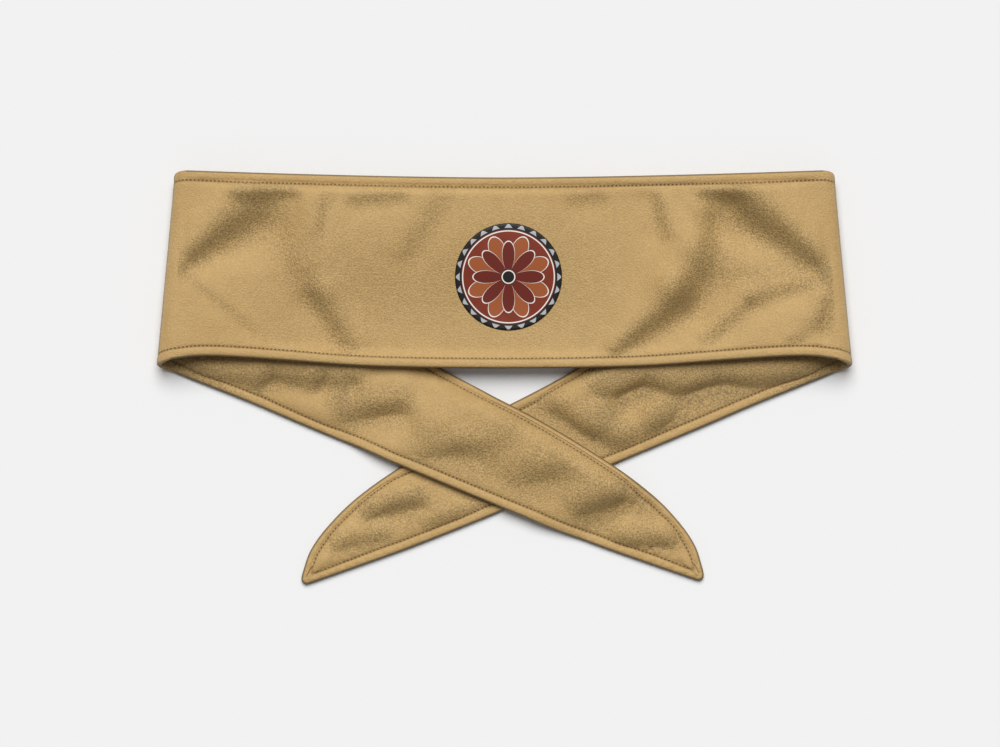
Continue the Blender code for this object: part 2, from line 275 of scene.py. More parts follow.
def points_along(line, shares):
    """The points at rising shares of a polyline's length."""
    ends = [0.0]
    for a, b in zip(line, line[1:]):
        ends.append(ends[-1] + (b - a).length)
    points, k = [], 0
    for share in shares:
        while k < len(line) - 2 and ends[k + 1] < share * ends[-1]:
            k += 1
        points.append(line[k].lerp(line[k + 1], (share * ends[-1] - ends[k]) / (ends[k + 1] - ends[k])))
    return points


def to_tie(tie, point):
    """A place's shares along a tie's length and across its width, from the fold's lower corner."""
    x, y = tie.side * -point.x + LOOP_WIDTH / 2, point.y - CORNER_Y
    along = x * math.cos(tie.slant) - y * math.sin(tie.slant)
    across = x * math.sin(tie.slant) + y * math.cos(tie.slant)
    return along / tie.length, across / tie.width


def from_tie(tie, along, across):
    """The place on the table at shares along a tie's length and across its width."""
    u, v = along * tie.length, across * tie.width
    x = u * math.cos(tie.slant) + v * math.sin(tie.slant) - LOOP_WIDTH / 2
    return Vector((tie.side * -x, v * math.cos(tie.slant) - u * math.sin(tie.slant) + CORNER_Y, 0))


def fold_section(tie, turn):
    """The strip's edges part way round a fold: turn 0 is the panel's end, 1 the tie's start."""
    angle = math.pi * turn
    lip = LOWER_ARCH * LOWER_EDGE[-1][1]
    upper = Vector((
        tie.side * (HALF_PANEL_TOP + UPPER_FOLD_RADIUS * math.sin(angle)),
        CORNER_Y + BAND_HEIGHT - UPPER_TURN_DROP * turn**2,
        UPPER_FOLD_RADIUS * (1 + math.cos(angle)),
    ))
    lower = Vector((
        tie.side * (HALF_PANEL_BOTTOM + LOWER_FOLD_RADIUS * math.sin(angle)),
        CORNER_Y + lip * (1 - 2 * turn),
        LOWER_FOLD_RADIUS * (1 + math.cos(angle)),
    ))
    return Section(upper, lower, "fold", turn, tie)


def panel_section(share):
    """The panel's edges at a share of its half length: -1 is the left fold, 1 the right."""
    away = abs(share)
    rise = (1 - math.cos(math.pi * away**PANEL_POWER)) / 2
    upper = Vector((
        HALF_PANEL_TOP * share,
        CORNER_Y + BAND_HEIGHT - UPPER_DIP * (1 - away**PANEL_POWER),
        PANEL_MIDDLE_HEIGHT + (2 * UPPER_FOLD_RADIUS - PANEL_MIDDLE_HEIGHT) * rise,
    ))
    lower = Vector((
        HALF_PANEL_BOTTOM * share,
        CORNER_Y + LOWER_ARCH * spline_value(LOWER_EDGE, away),
        PANEL_MIDDLE_HEIGHT + (2 * LOWER_FOLD_RADIUS - PANEL_MIDDLE_HEIGHT) * rise,
    ))
    return Section(upper, lower, "panel", share, LEFT_TIE if share < 0 else RIGHT_TIE)


def tie_edges(tie):
    """A tie's upper and lower edge, each from the middle of the rounded tip back to the fold."""
    start = fold_section(tie, 1.0)
    edges = []
    for first, table in ((start.upper, TIE_UPPER_EDGE), (start.lower, TIE_LOWER_EDGE)):
        rows = (to_tie(tie, first), *table)
        shares = [1 - (1 - rows[0][0]) * k / EDGE_STEPS for k in range(EDGE_STEPS + 1)]
        edges.append([from_tie(tie, share, spline_value(rows, share)) for share in shares])
    tip = edges[0][0]
    ways = [(points_along(edge, [3 * TIP_RADIUS / tie.length])[0] - tip).normalized() for edge in edges]
    half_angle = ways[0].angle(ways[1]) / 2
    inwards = (ways[0] + ways[1]).normalized()
    centre = tip + inwards * TIP_RADIUS / math.sin(half_angle)
    cut = TIP_RADIUS / math.tan(half_angle)
    rounded = []
    for edge, way in zip(edges, ways):
        to_edge = (tip + way * cut - centre).normalized()
        arc = [centre + TIP_RADIUS * (-inwards).slerp(to_edge, k / 12) for k in range(13)]
        rounded.append(arc + [p for p in edge if (p - tip).length > cut])
    return rounded


def end_sections(tie):
    """The sections of one tie and its fold, from the tip to the panel."""
    shares = [TIP_SHARE + (1 - TIP_SHARE) * (k / TIE_ROWS) ** TIP_CROWDING for k in range(TIE_ROWS)]
    upper, lower = [points_along(edge, shares) for edge in outlines[tie]]
    rows = [Section(u, w, "tie", share, tie) for u, w, share in zip(upper, lower, shares)]
    return rows + [fold_section(tie, 1 - k / FOLD_ROWS) for k in range(FOLD_ROWS)]


def edge_finder(tie):
    """A search tree of a tie's outline, for distances from its edge."""
    outline = []
    for edge in outlines[tie]:
        outline += points_along(edge, [k / FINDER_STEPS for k in range(FINDER_STEPS + 1)])
    tree = KDTree(len(outline))
    for k, point in enumerate(outline):
        tree.insert(point, k)
    tree.balance()
    return tree


outlines = {tie: tie_edges(tie) for tie in (LEFT_TIE, RIGHT_TIE)}
finders = {tie: edge_finder(tie) for tie in outlines}
panel_rows = [panel_section(2 * k / PANEL_ROWS - 1) for k in range(PANEL_ROWS + 1)]
sections = end_sections(LEFT_TIE) + panel_rows + end_sections(RIGHT_TIE)[::-1]


def columns_across(section, before, after):
    """Each column's share of the way down the strip, and its distance from the nearer edge."""
    across = section.lower - section.upper
    sides = []
    for way in (after.upper - before.upper, after.lower - before.lower):
        squareness = max(0.5, across.normalized().cross(way.normalized()).length)
        squeeze = min(1.0, EDGE_SHARE * 1000 * across.length * squareness / EDGE_INSETS[-1])
        insets = [squeeze * mm / 1000 / squareness / across.length for mm in EDGE_INSETS]
        sides.append((insets, squareness))
    first, last = sides[0][0][-1], 1 - sides[1][0][-1]
    steps = [(k + 1) / (MIDDLE_COLUMNS + 1) for k in range(MIDDLE_COLUMNS)]
    shares = sides[0][0] + [first + (last - first) * step for step in steps]
    shares += [1 - share for share in sides[1][0][::-1]]
    return [(s, across.length * min(s * sides[0][1], (1 - s) * sides[1][1])) for s in shares]


def near_tie(tie, point, margin, ramp):
    """1 on a tie and a margin around it, falling to 0 over a ramp further out."""
    along, across = to_tie(tie, point)
    above = (across - spline_value(TIE_UPPER_EDGE, along)) * tie.width
    below = (spline_value(TIE_LOWER_EDGE, along) - across) * tie.width
    outside = max(above, below, (along - 1) * tie.length, 0.0)
    return 1 - smoothstep((outside - margin) / ramp)


# In widths of a crease: how far it runs past its ends, over what length it fades, how far aside it acts
CREASE_TAIL = 1.2
CREASE_FADE = 1.8
CREASE_REACH = 4


def creased(creases, place):
    """How far creases lift a place of the cloth, and how steeply."""
    lift = steep = 0.0
    for *ends, first_width, last_width, steepness in creases:
        from_x, from_y, to_x, to_y = [mm / 1000 for mm in ends]
        line_x, line_y = to_x - from_x, to_y - from_y
        here_x, here_y = place.x - from_x, place.y - from_y
        reach = math.hypot(line_x, line_y)
        share = (here_x * line_x + here_y * line_y) / reach**2
        width = (first_width + (last_width - first_width) * min(1.0, max(0.0, share))) / 1000
        beyond = max(-share, share - 1) * reach / width
        off = (line_x * here_y - line_y * here_x) / reach / width
        if beyond < CREASE_TAIL and abs(off) < CREASE_REACH:
            fade = smoothstep((CREASE_TAIL - beyond) / CREASE_FADE)
            depth = steepness * CREASE_SLOPE * width / math.sqrt(math.e)
            lift += fade * depth * off * math.exp((1 - off * off) / 2)
            steep += fade * steepness * math.exp(-off * off)
    return lift, min(1.0, steep)


def at_least(value, least):
    """The value, kept above a limit that it eases into."""
    return (value + least + math.hypot(value - least, EASE)) / 2


# Creases die out towards the folds, in shares of the half panel and of a tie, and in metres towards the
# seam and where other cloth lies on them
PANEL_FOLD_CALM = 0.035
TIE_FOLD_CALM = 0.06
PANEL_SEAM_CALM, PANEL_SEAM_RAMP = 0.0035, 0.0045
TIE_SEAM_CALM, TIE_SEAM_RAMP = 0.002, 0.008
SHADE_CALM, SHADE_RAMP = 0.002, 0.004
UNDER_PANEL_RAMP = 0.012
UNDER_TIE_MARGIN, UNDER_TIE_RAMP = 0.001, 0.011


def lifted(section, place, share, inset, run):
    """How far creases and cloth beneath lift a place of the strip, and how creased it is there."""
    ripple = RIPPLE_DEPTH * noise.noise(Vector((run, share * BAND_HEIGHT, 0.3)) / RIPPLE_LENGTH)
    if section.part == "panel":
        free = smoothstep((1 - abs(section.share)) / PANEL_FOLD_CALM)
        free *= smoothstep((inset - PANEL_SEAM_CALM) / PANEL_SEAM_RAMP)
        lift, steep = creased(PANEL_CREASES, place)
        lift = at_least(lift, TIE_ROOM - place.z)
        return free * (lift + ripple), smoothstep((inset - SHADE_CALM) / SHADE_RAMP) * steep
    if section.part == "tie":
        free = smoothstep((1 - section.share) / TIE_FOLD_CALM)
        free *= smoothstep((inset - TIE_SEAM_CALM) / TIE_SEAM_RAMP)
        free *= 1 - smoothstep((place.y - CORNER_Y) / UNDER_PANEL_RAMP)
        lift, steep = creased(TIE_CREASES[section.tie], place)
        steep *= smoothstep((inset - SHADE_CALM) / SHADE_RAMP)
        wave = -at_least(-at_least(TIE_WAVE + lift, 0.0), -HIGHEST_WAVE) + RIPPLE_DEPTH + ripple
        if section.tie is LEFT_TIE:
            over = CROSSING_LIFT * near_tie(RIGHT_TIE, place, CROSSING_MARGIN, CROSSING_RAMP)
            return over + free * wave, steep
        free *= 1 - near_tie(LEFT_TIE, place, UNDER_TIE_MARGIN, UNDER_TIE_RAMP)
        return free * wave, steep
    return 0.0, 0.0


# Painted shade along the edge and down each fold: in from the edge in metres, and from the middle of a
# fold in its turn
EDGE_SHADE, EDGE_SHADE_RAMP = 0.0003, 0.0007
FOLD_LINE_SHADE, FOLD_LINE_SHADE_RAMP = 0.08, 0.1


def outline_shade(section, inset):
    """How dark the painted shade is, from 0 to 1, along the edge and down the middle of a fold."""
    edge = 1 - smoothstep((inset - EDGE_SHADE) / EDGE_SHADE_RAMP)
    if section.part != "fold":
        return edge
    bend = 1 - smoothstep((abs(section.share - 0.5) - FOLD_LINE_SHADE) / FOLD_LINE_SHADE_RAMP)
    return max(0.3 * edge, 0.8 * bend)


face, run = [], 0.0
for i, section in enumerate(sections):
    before, after = sections[max(i - 1, 0)], sections[min(i + 1, len(sections) - 1)]
    if i:
        run += (section.upper + section.lower - before.upper - before.lower).length / 2
    row = []
    for share, inset in columns_across(section, before, after):
        place = section.upper.lerp(section.lower, share)
        if section.part == "tie":
            inset = finders[section.tie].find(place)[2]
        lift, steep = lifted(section, place, share, inset, run)
        place.z += lift
        row.append(Spot(place, share, inset, run, steep, outline_shade(section, inset)))
    face.append(row)


def inward_normals(rows):
    """The way from the outer face to the inner one, at each point."""
    normals = []
    for i, row in enumerate(rows):
        before, after = rows[max(i - 1, 0)], rows[min(i + 1, len(rows) - 1)]
        normals.append([])
        for j in range(len(row)):
            along = after[j].place - before[j].place
            across = row[min(j + 1, len(row) - 1)].place - row[max(j - 1, 0)].place
            normals[-1].append(along.cross(across).normalized())
    return normals


normals = inward_normals(face)


def edge_curl(inset):
    """How far a face curls in towards the seam, which lies half way between the two faces."""
    return EDGE_DROP * (1 - math.sqrt(1 - max(0.0, 1 - inset / EDGE_ROLL) ** 2))


# Shares of the width beside its middle in which grooves and puckers run out, as they do in the tips,
# and of the half panel in which the relief is pressed down to FOLD_RELIEF of its height by the fold
GROOVE_CALM = 0.1
PUCKER_CALM = 0.2
FOLD_EASE = 0.05
FOLD_RELIEF = 0.3


def relief(section, spot):
    """How far a face stands out: the ridge over the seam allowance, the groove and the puckers."""
    ridge = smoothstep(spot.inset / RIDGE_RISE)
    ridge *= 1 - smoothstep((spot.inset - RIDGE_INSET) / RIDGE_FALL)
    groove = math.exp(-(((spot.inset - STITCH_INSET) / GROOVE_HALF_WIDTH) ** 2))
    groove *= smoothstep(abs(spot.share - 0.5) / GROOVE_CALM)
    shoulder = math.exp(-(((spot.inset - SHOULDER_INSET) / SHOULDER_HALF_WIDTH) ** 2))
    side = 0.0 if spot.share < 0.5 else 5.0
    wander = noise.noise(Vector((spot.run / PUCKER_WANDER, side, 0.0)))
    turns = spot.run / PUCKER_SPACING + side + PUCKER_SWAY * wander
    pucker = math.sin(2 * math.pi * turns)
    reach = smoothstep(spot.inset / PUCKER_RISE)
    reach *= 1 - smoothstep((spot.inset - PUCKER_INSET) / PUCKER_REACH)
    reach *= 1 + noise.noise(Vector((spot.run / PUCKER_PATCH, side, 4.0)))
    reach *= smoothstep(abs(spot.share - 0.5) / PUCKER_CALM)
    stitched = RIDGE_HEIGHT * ridge - GROOVE_DEPTH * groove + SHOULDER_HEIGHT * shoulder
    panel = smoothstep((1 - abs(section.share)) / FOLD_EASE)
    at_ease = {"panel": panel, "fold": 0.0, "tie": 1.0}[section.part]
    full = FOLD_RELIEF + (1 - FOLD_RELIEF) * at_ease
    return full * (stitched + PUCKER_DEPTH * reach * pucker * (1 - groove))


def stitch_line(rows, upper):
    """A row of topstitching: each section's point on a face, STITCH_INSET in from one edge."""
    line = []
    for spots, points in zip(face, rows):
        half = len(spots) // 2
        order = list(range(half)) if upper else list(range(len(spots) - 1, half - 1, -1))
        found = None
        for j, k in zip(order, order[1:]):
            if spots[j].inset < STITCH_INSET <= spots[k].inset:
                share = (STITCH_INSET - spots[j].inset) / (spots[k].inset - spots[j].inset)
                found = points[j].lerp(points[k], share)
                break
        line.append(found)
    return line


def runs_of(line):
    """The length of thread along a stitch line up to each section."""
    runs, total, last = [], STITCH_LENGTH / 2, None
    for point in line:
        if point is not None and last is not None:
            total += (point - last).length
        last = point if point is not None else last
        runs.append(total)
    return runs


smooth_face = [[spot.place for spot in row] for row in face]
stitch_runs = [runs_of(stitch_line(smooth_face, upper)) for upper in (True, False)]


# The share of a tie, next to its fold, over which the inner face is painted dark as shade, as in the
# fold
TURNED_IN = 0.2


def beside_fold(section):
    """1 in a fold, falling to 0 along the tie that leaves it."""
    tie = smoothstep(1 - (1 - section.share) / TURNED_IN)
    return {"panel": 0.0, "fold": 1.0, "tie": tie}[section.part]


def cloth_layer(name, near, far, shade_in_fold):
    """One layer of the strip: a fine flat grid, given a thickness and laid along its two faces."""
    bm = bmesh.new()
    weave, stitching = bm.loops.layers.uv.new("weave"), bm.loops.layers.uv.new("stitching")
    crease_shade, edge_shade = bm.verts.layers.float.new("crease_shade"), bm.verts.layers.float.new("edge_shade")
    rows, columns = len(near), len(near[0])
    bmesh.ops.create_grid(bm, x_segments=columns - 1, y_segments=rows - 1, size=0.5)
    copied = bmesh.ops.extrude_face_region(bm, geom=bm.faces[:])
    far_side = {v for v in copied["geom"] if isinstance(v, bmesh.types.BMVert)}
    cell = {}
    for v in bm.verts:
        cell[v] = round((v.co.y + 0.5) * (rows - 1)), round((v.co.x + 0.5) * (columns - 1))
    for f in bm.faces:
        upper_half = sum(cell[v][1] for v in f.verts) < 2 * (columns - 1)
        for loop in f.loops:
            i, j = cell[loop.vert]
            spot = face[i][j]
            loop[weave].uv = spot.run, spot.share * (sections[i].lower - sections[i].upper).length
            loop[stitching].uv = stitch_runs[0 if upper_half else 1][i], spot.inset
        f.smooth = True
    for v, (i, j) in cell.items():
        v.co = (far if v in far_side else near)[i][j]
        # Painted shade: the cloth is marked darkest in its steepest creases and, on the inner layer, in
        # and beside the folds
        v[crease_shade] = max(face[i][j].crease_shade, shade_in_fold * beside_fold(sections[i]))
        v[edge_shade] = face[i][j].edge_shade
    bmesh.ops.recalc_face_normals(bm, faces=bm.faces)
    mesh = bpy.data.meshes.new(name)
    bm.to_mesh(mesh)
    bm.free()
    layer = bpy.data.objects.new(name, mesh)
    bpy.context.scene.collection.objects.link(layer)
    return layer


def on_table(section):
    """How far a section's outer face lies against the table, from 0 to 1."""
    return {"panel": 0.0, "fold": smoothstep(2 * section.share - 1), "tie": 1.0}[section.part]


outer_near, outer_far = [], []
for section, row, row_normals in zip(sections, face, normals):
    near, far = [], []
    for spot, normal in zip(row, row_normals):
        proud = relief(section, spot)
        proud = min(0.0, proud) * on_table(section) + proud * (1 - on_table(section))
        near.append(spot.place + normal * (edge_curl(spot.inset) - proud))
        far.append(spot.place + normal * LAYER)
    outer_near.append(near)
    outer_far.append(far)
outer_cloth = cloth_layer("outer_cloth", outer_near, outer_far, 0.0)


def srgb(hex_value):
    """The linear colour of an sRGB hex value."""
    channels = [(hex_value >> shift & 255) / 255 for shift in (16, 8, 0)]
    return (*[c / 12.92 if c <= 0.04045 else ((c + 0.055) / 1.055) ** 2.4 for c in channels], 1)


def add_node(material, kind, values=None, links=None, **settings):
    """A node with its settings, the values of its sockets, and the sockets that feed it."""
    tree = material.node_tree
    node = tree.nodes.new("ShaderNode" + kind)
    for name, value in settings.items():
        setattr(node, name, value)
    for socket, value in (values or {}).items():
        node.inputs[socket].default_value = value
    for socket, source in (links or {}).items():
        tree.links.new(source, node.inputs[socket])
    return node


# Knitted polyester, brushed. Its short nap gives it a satin sheen along every fold, a fine broken grain
# and a slightly uneven tan. Where a crease is steepest, and on the inner face in and beside the folds,
# the tan is darker and the grain's speckle stronger: painted shade. The real knit has a stitch of about
# 0.3 mm, too fine to show here, so its grain is drawn at 0.75 mm.
TAN = 0xC6A46B
SHADED_TAN = 0xBE9B62
CREASE_SHADE_TAN = 0xA78A58
NEEDLE_HOLE_SHADE = 0x6A5230
OUTLINE_SHADE = 0x5E4A2C
NAP_SHEEN = 0xF2E2BE
GRAIN = 0.00075
NAP_PATCH = 0.006
SHADE_PATCH = 0.045
STITCH_SHADE_PATCH = 0.018

cloth = bpy.data.materials.new("brushed polyester knit")
cloth.use_nodes = True
cloth.node_tree.nodes.clear()
weave_place = add_node(cloth, "UVMap", uv_map="weave").outputs["UV"]
stitch_place = add_node(cloth, "UVMap", uv_map="stitching").outputs["UV"]
cloth_place = add_node(cloth, "TexCoord").outputs["Object"]
grain = add_node(
    cloth, "TexNoise", {"Scale": 1 / GRAIN, "Detail": 3.0, "Roughness": 0.65}, {"Vector": cloth_place}
).outputs["Fac"]
nap = add_node(
    cloth, "TexNoise", {"Scale": 1 / NAP_PATCH, "Detail": 4.0, "Roughness": 0.7}, {"Vector": cloth_place}
).outputs["Fac"]
shade = add_node(
    cloth, "TexNoise", {"Scale": 1 / SHADE_PATCH, "Detail": 2.0}, {"Vector": weave_place}
).outputs["Fac"]
mottle = add_node(cloth, "Math", {}, {0: nap, 1: shade}, operation="ADD").outputs[0]
mottle = add_node(
    cloth, "MapRange", {"From Min": 0.75, "From Max": 1.25}, {"Value": mottle}
).outputs["Result"]
body = add_node(
    cloth, "Mix", {6: srgb(SHADED_TAN), 7: srgb(TAN)}, {0: mottle}, data_type="RGBA"
).outputs[2]
# Painted shade: the tan is darkened where a crease is steepest, and in and beside the inner layer's
# folds
crease_shade = add_node(cloth, "Attribute", attribute_name="crease_shade").outputs["Fac"]
body = add_node(
    cloth, "Mix", {7: srgb(CREASE_SHADE_TAN)}, {0: crease_shade, 6: body}, data_type="RGBA"
).outputs[2]
fleck = add_node(
    cloth, "MapRange", {"From Min": 0.35, "From Max": 0.65, "To Min": -1.0}, {"Value": grain}
).outputs["Result"]
# Painted shade too: the grain's speckle is made stronger where a crease is steepest
depth = add_node(
    cloth, "MapRange", {"From Max": 0.6, "To Min": 0.08, "To Max": 0.42}, {"Value": crease_shade}
).outputs["Result"]
speckle = add_node(
    cloth, "Math", {2: 1.0}, {0: fleck, 1: depth}, operation="MULTIPLY_ADD"
).outputs[0]
speckled = add_node(
    cloth, "VectorMath", {}, {0: body, 1: speckle}, operation="MULTIPLY"
).outputs["Vector"]

# Each stitch draws the cloth down into a needle hole. The holes and the groove between them are painted
# dark as shade, more strongly in some patches than in others
split = add_node(cloth, "SeparateXYZ", {}, {"Vector": stitch_place})
phase = add_node(
    cloth, "Math", {1: STITCH_LENGTH}, {0: split.outputs["X"]}, operation="DIVIDE"
).outputs[0]
phase = add_node(cloth, "Math", {}, {0: phase}, operation="FRACT").outputs[0]
beside = add_node(cloth, "Math", {1: 0.5}, {0: phase}, operation="SUBTRACT").outputs[0]
beside = add_node(cloth, "Math", {}, {0: beside}, operation="ABSOLUTE").outputs[0]
along_hole = add_node(cloth, "Math", {0: 0.5}, {1: beside}, operation="SUBTRACT").outputs[0]
along_hole = add_node(
    cloth, "Math", {1: STITCH_LENGTH}, {0: along_hole}, operation="MULTIPLY"
).outputs[0]
across_hole = add_node(
    cloth, "Math", {1: STITCH_INSET}, {0: split.outputs["Y"]}, operation="SUBTRACT"
).outputs[0]
hole_place = add_node(cloth, "CombineXYZ", {}, {"X": along_hole, "Y": across_hole}).outputs["Vector"]
from_hole = add_node(cloth, "VectorMath", {}, {0: hole_place}, operation="LENGTH").outputs["Value"]
hole = add_node(
    cloth,
    "MapRange",
    {"From Min": 0.0001, "From Max": 0.0005},
    {"Value": from_hole},
    interpolation_type="SMOOTHSTEP",
).outputs["Result"]
off_line = add_node(cloth, "Math", {}, {0: across_hole}, operation="ABSOLUTE").outputs[0]
stitch_unshaded = add_node(
    cloth,
    "MapRange",
    {"From Min": 0.0001, "From Max": 0.0007, "To Min": 0.5},
    {"Value": off_line},
    interpolation_type="SMOOTHSTEP",
).outputs["Result"]
stitch_unshaded = add_node(cloth, "Math", {}, {0: stitch_unshaded, 1: hole}, operation="MULTIPLY").outputs[0]
stitch_shade_patches = add_node(
    cloth, "TexNoise", {"Scale": 1 / STITCH_SHADE_PATCH, "Detail": 3.0}, {"Vector": weave_place}
).outputs["Fac"]
stitch_shade_patches = add_node(
    cloth,
    "MapRange",
    {"From Min": 0.35, "From Max": 0.65, "To Min": 0.65, "To Max": 0.2},
    {"Value": stitch_shade_patches},
).outputs["Result"]
stitch_unshaded = add_node(cloth, "Math", {}, {0: stitch_unshaded, 1: stitch_shade_patches}, operation="MAXIMUM").outputs[0]
# The needle holes and the groove are painted dark as shade
stitch_shaded = add_node(
    cloth, "Mix", {6: srgb(NEEDLE_HOLE_SHADE)}, {0: stitch_unshaded, 7: speckled}, data_type="RGBA"
).outputs[2]

# Painted shade: a dark line along the very edge, where the seam is, and down the folds
edge_shade = add_node(cloth, "Attribute", attribute_name="edge_shade").outputs["Fac"]
edge_shade = add_node(cloth, "Math", {1: 0.9}, {0: edge_shade}, operation="MULTIPLY").outputs[0]
cloth_colour = add_node(
    cloth, "Mix", {7: srgb(OUTLINE_SHADE)}, {0: edge_shade, 6: stitch_shaded}, data_type="RGBA"
).outputs[2]
height = add_node(cloth, "Math", {1: 0.35}, {0: nap, 2: grain}, operation="MULTIPLY_ADD").outputs[0]
height = add_node(cloth, "Math", {1: 1.5}, {0: hole, 2: height}, operation="MULTIPLY_ADD").outputs[0]
bump = add_node(
    cloth, "Bump", {"Strength": 1.0, "Distance": 0.0005}, {"Height": height}
).outputs["Normal"]
gloss = add_node(
    cloth, "MapRange", {"To Min": 0.5, "To Max": 0.66}, {"Value": grain}
).outputs["Result"]
shader = add_node(
    cloth,
    "BsdfPrincipled",
    {
        "Specular IOR Level": 0.45,
        "Sheen Weight": 0.35,
        "Sheen Roughness": 0.35,
        "Sheen Tint": srgb(NAP_SHEEN),
    },
    {"Base Color": cloth_colour, "Roughness": gloss, "Normal": bump},
)
add_node(cloth, "OutputMaterial", {}, {"Surface": shader.outputs["BSDF"]})
outer_cloth.data.materials.append(cloth)

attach(outer_cloth, "root")
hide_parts("outer_layer")


# Inner cloth. The second layer of the strip, of the same knit, which lies against the head. The folds
# turn it up on both ties, so it is what shows there, with the same rolled and stitched edge.
inner_near, inner_far = [], []
for section, row, row_normals in zip(sections, face, normals):
    near, far = [], []
    for spot, normal in zip(row, row_normals):
        near.append(spot.place + normal * (TWO_LAYERS - LAYER))
        depth_in = TWO_LAYERS - edge_curl(spot.inset) + relief(section, spot)
        far.append(spot.place + normal * depth_in)
    inner_near.append(near)
    inner_far.append(far)
# The inner layer is painted dark as shade in and beside the folds
inner_cloth = cloth_layer("inner_cloth", inner_near, inner_far, 1.0)
inner_cloth.data.materials.append(cloth)
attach(inner_cloth, "root")
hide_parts("inner_layer")


# Topstitching. One line of lockstitch runs round the whole strip close to the edge, in polyester thread
# a shade deeper than the cloth. Each stitch is a short length of twisted thread, pulled down at both
# ends into its holes.
THREAD_LENGTH = 0.0015
THREAD_WIDTH = 0.00036
THREAD_RISE = 0.15 * THREAD_WIDTH
STRAY_TURN = 0.35
STRAY_WAY = 0.00018
COLUMN_BY_STITCHES = 10
THREAD_TAN = 0x9A7A48
THREAD_LIGHT = 0xC09C62
TWIST = 0.0005


def topstitching(name, rows, upright):
    """The stitches that show on one face of the strip, each a copy of one drawn-out ball."""
    bm = bmesh.new()
    bmesh.ops.create_uvsphere(bm, u_segments=6, v_segments=5, radius=1)
    for f in bm.faces:
        f.smooth = True
    ball = bpy.data.meshes.new("stitch")
    bm.to_mesh(ball)
    bm.clear()
    for upper in (True, False):
        line = stitch_line(rows, upper)
        runs = stitch_runs[0 if upper else 1]
        k = 0
        for n in range(int(runs[-1] / STITCH_LENGTH)):
            at = (n + 0.5) * STITCH_LENGTH
            while k < len(runs) - 2 and runs[k + 1] < at:
                k += 1
            if line[k] is None or line[k + 1] is None:
                continue
            middle = line[k].lerp(line[k + 1], (at - runs[k]) / (runs[k + 1] - runs[k]))
            along = (line[k + 1] - line[k]).normalized()
            normal = normals[k][COLUMN_BY_STITCHES if upper else -1 - COLUMN_BY_STITCHES]
            side = (normal * upright).cross(along).normalized()
            out = along.cross(side).normalized()
            stray = noise.noise(Vector((n * 0.83, 7.0 * upper, 2.0)))
            turn = Matrix.Rotation(STRAY_TURN * stray, 4, out)
            turn @= Matrix((along, side, out)).transposed().to_4x4()
            size = Matrix.Diagonal((THREAD_LENGTH / 2, THREAD_WIDTH / 2, THREAD_WIDTH / 2, 1))
            place = Matrix.Translation(middle + out * THREAD_RISE + side * STRAY_WAY * stray)
            ball.transform(place @ turn @ size)
            bm.from_mesh(ball)
            ball.transform((place @ turn @ size).inverted())
    bpy.data.meshes.remove(ball)
    mesh = bpy.data.meshes.new(name)
    bm.to_mesh(mesh)
    bm.free()
    stitches = bpy.data.objects.new(name, mesh)
    bpy.context.scene.collection.objects.link(stitches)
    return stitches


# Spun polyester sewing thread: a matt twist of two plies, whose turns of about 0.5 mm break up its light
thread = bpy.data.materials.new("spun polyester thread")
thread.use_nodes = True
thread.node_tree.nodes.clear()
thread_place = add_node(thread, "TexCoord").outputs["Object"]
twist = add_node(
    thread, "TexNoise", {"Scale": 1 / TWIST, "Detail": 2.0}, {"Vector": thread_place}
).outputs["Fac"]
thread_colour = add_node(
    thread, "Mix", {6: srgb(THREAD_TAN), 7: srgb(THREAD_LIGHT)}, {0: twist}, data_type="RGBA"
).outputs[2]
thread_bump = add_node(
    thread, "Bump", {"Strength": 0.5, "Distance": 0.0001}, {"Height": twist}
).outputs["Normal"]
thread_shader = add_node(
    thread,
    "BsdfPrincipled",
    {"Roughness": 0.6, "Sheen Weight": 0.2},
    {"Base Color": thread_colour, "Normal": thread_bump},
)
add_node(thread, "OutputMaterial", {}, {"Surface": thread_shader.outputs["BSDF"]})

outer_stitches = topstitching("outer_topstitching", outer_near, -1)
inner_stitches = topstitching("inner_topstitching", inner_far, 1)
for stitches in (outer_stitches, inner_stitches):
    stitches.data.materials.append(thread)
    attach(stitches, "root")


# Print. A round medallion, screen printed on the middle of the panel in matt plastisol ink: a rust-red
# disc with a rosette of petals in two reds, outlined in white, in a black ring with small grey points.
PRINT_RADIUS = 0.024
PRINT_PLACE = (0.0018, CORNER_Y + BAND_HEIGHT / 2 - 0.004)
PRINT_FILM = 0.00012
PRINT_CLEARANCE = 0.00010
PRINT_RINGS = 22
PRINT_SPOKES = 96
BORDER_INNER = 0.0212
BORDER_LINE = (0.0203, 0.0208)
PETAL_LINE = (-0.0002, 0.0003)
EYE_RADIUS = 0.0034
EYE_LINE = (0.0026, 0.0031)
INK_BLEED = 0.00005

bm = bmesh.new()
spokes = [bm.verts.new((PRINT_RADIUS * k / PRINT_RINGS, 0, 0)) for k in range(PRINT_RINGS + 1)]
spoke_edges = [bm.edges.new(pair) for pair in zip(spokes, spokes[1:])]
bmesh.ops.spin(
    bm,
    geom=spokes + spoke_edges,
    cent=(0, 0, 0),
    axis=(0, 0, 1),
    angle=2 * math.pi,
    steps=PRINT_SPOKES,
    use_merge=True,
)
bmesh.ops.remove_doubles(bm, verts=bm.verts, dist=1e-6)
copied = bmesh.ops.extrude_face_region(bm, geom=bm.faces[:])
top = {v for v in copied["geom"] if isinstance(v, bmesh.types.BMVert)}
panel_face = BVHTree.FromObject(outer_cloth, bpy.context.evaluated_depsgraph_get())
for v in bm.verts:
    above = Vector((v.co.x + PRINT_PLACE[0], v.co.y + PRINT_PLACE[1], 0.05))
    on_cloth = panel_face.ray_cast(above, Vector((0, 0, -1)))[0]
    v.co = on_cloth + Vector((0, 0, PRINT_CLEARANCE + (PRINT_FILM if v in top else 0)))
for f in bm.faces:
    f.smooth = True
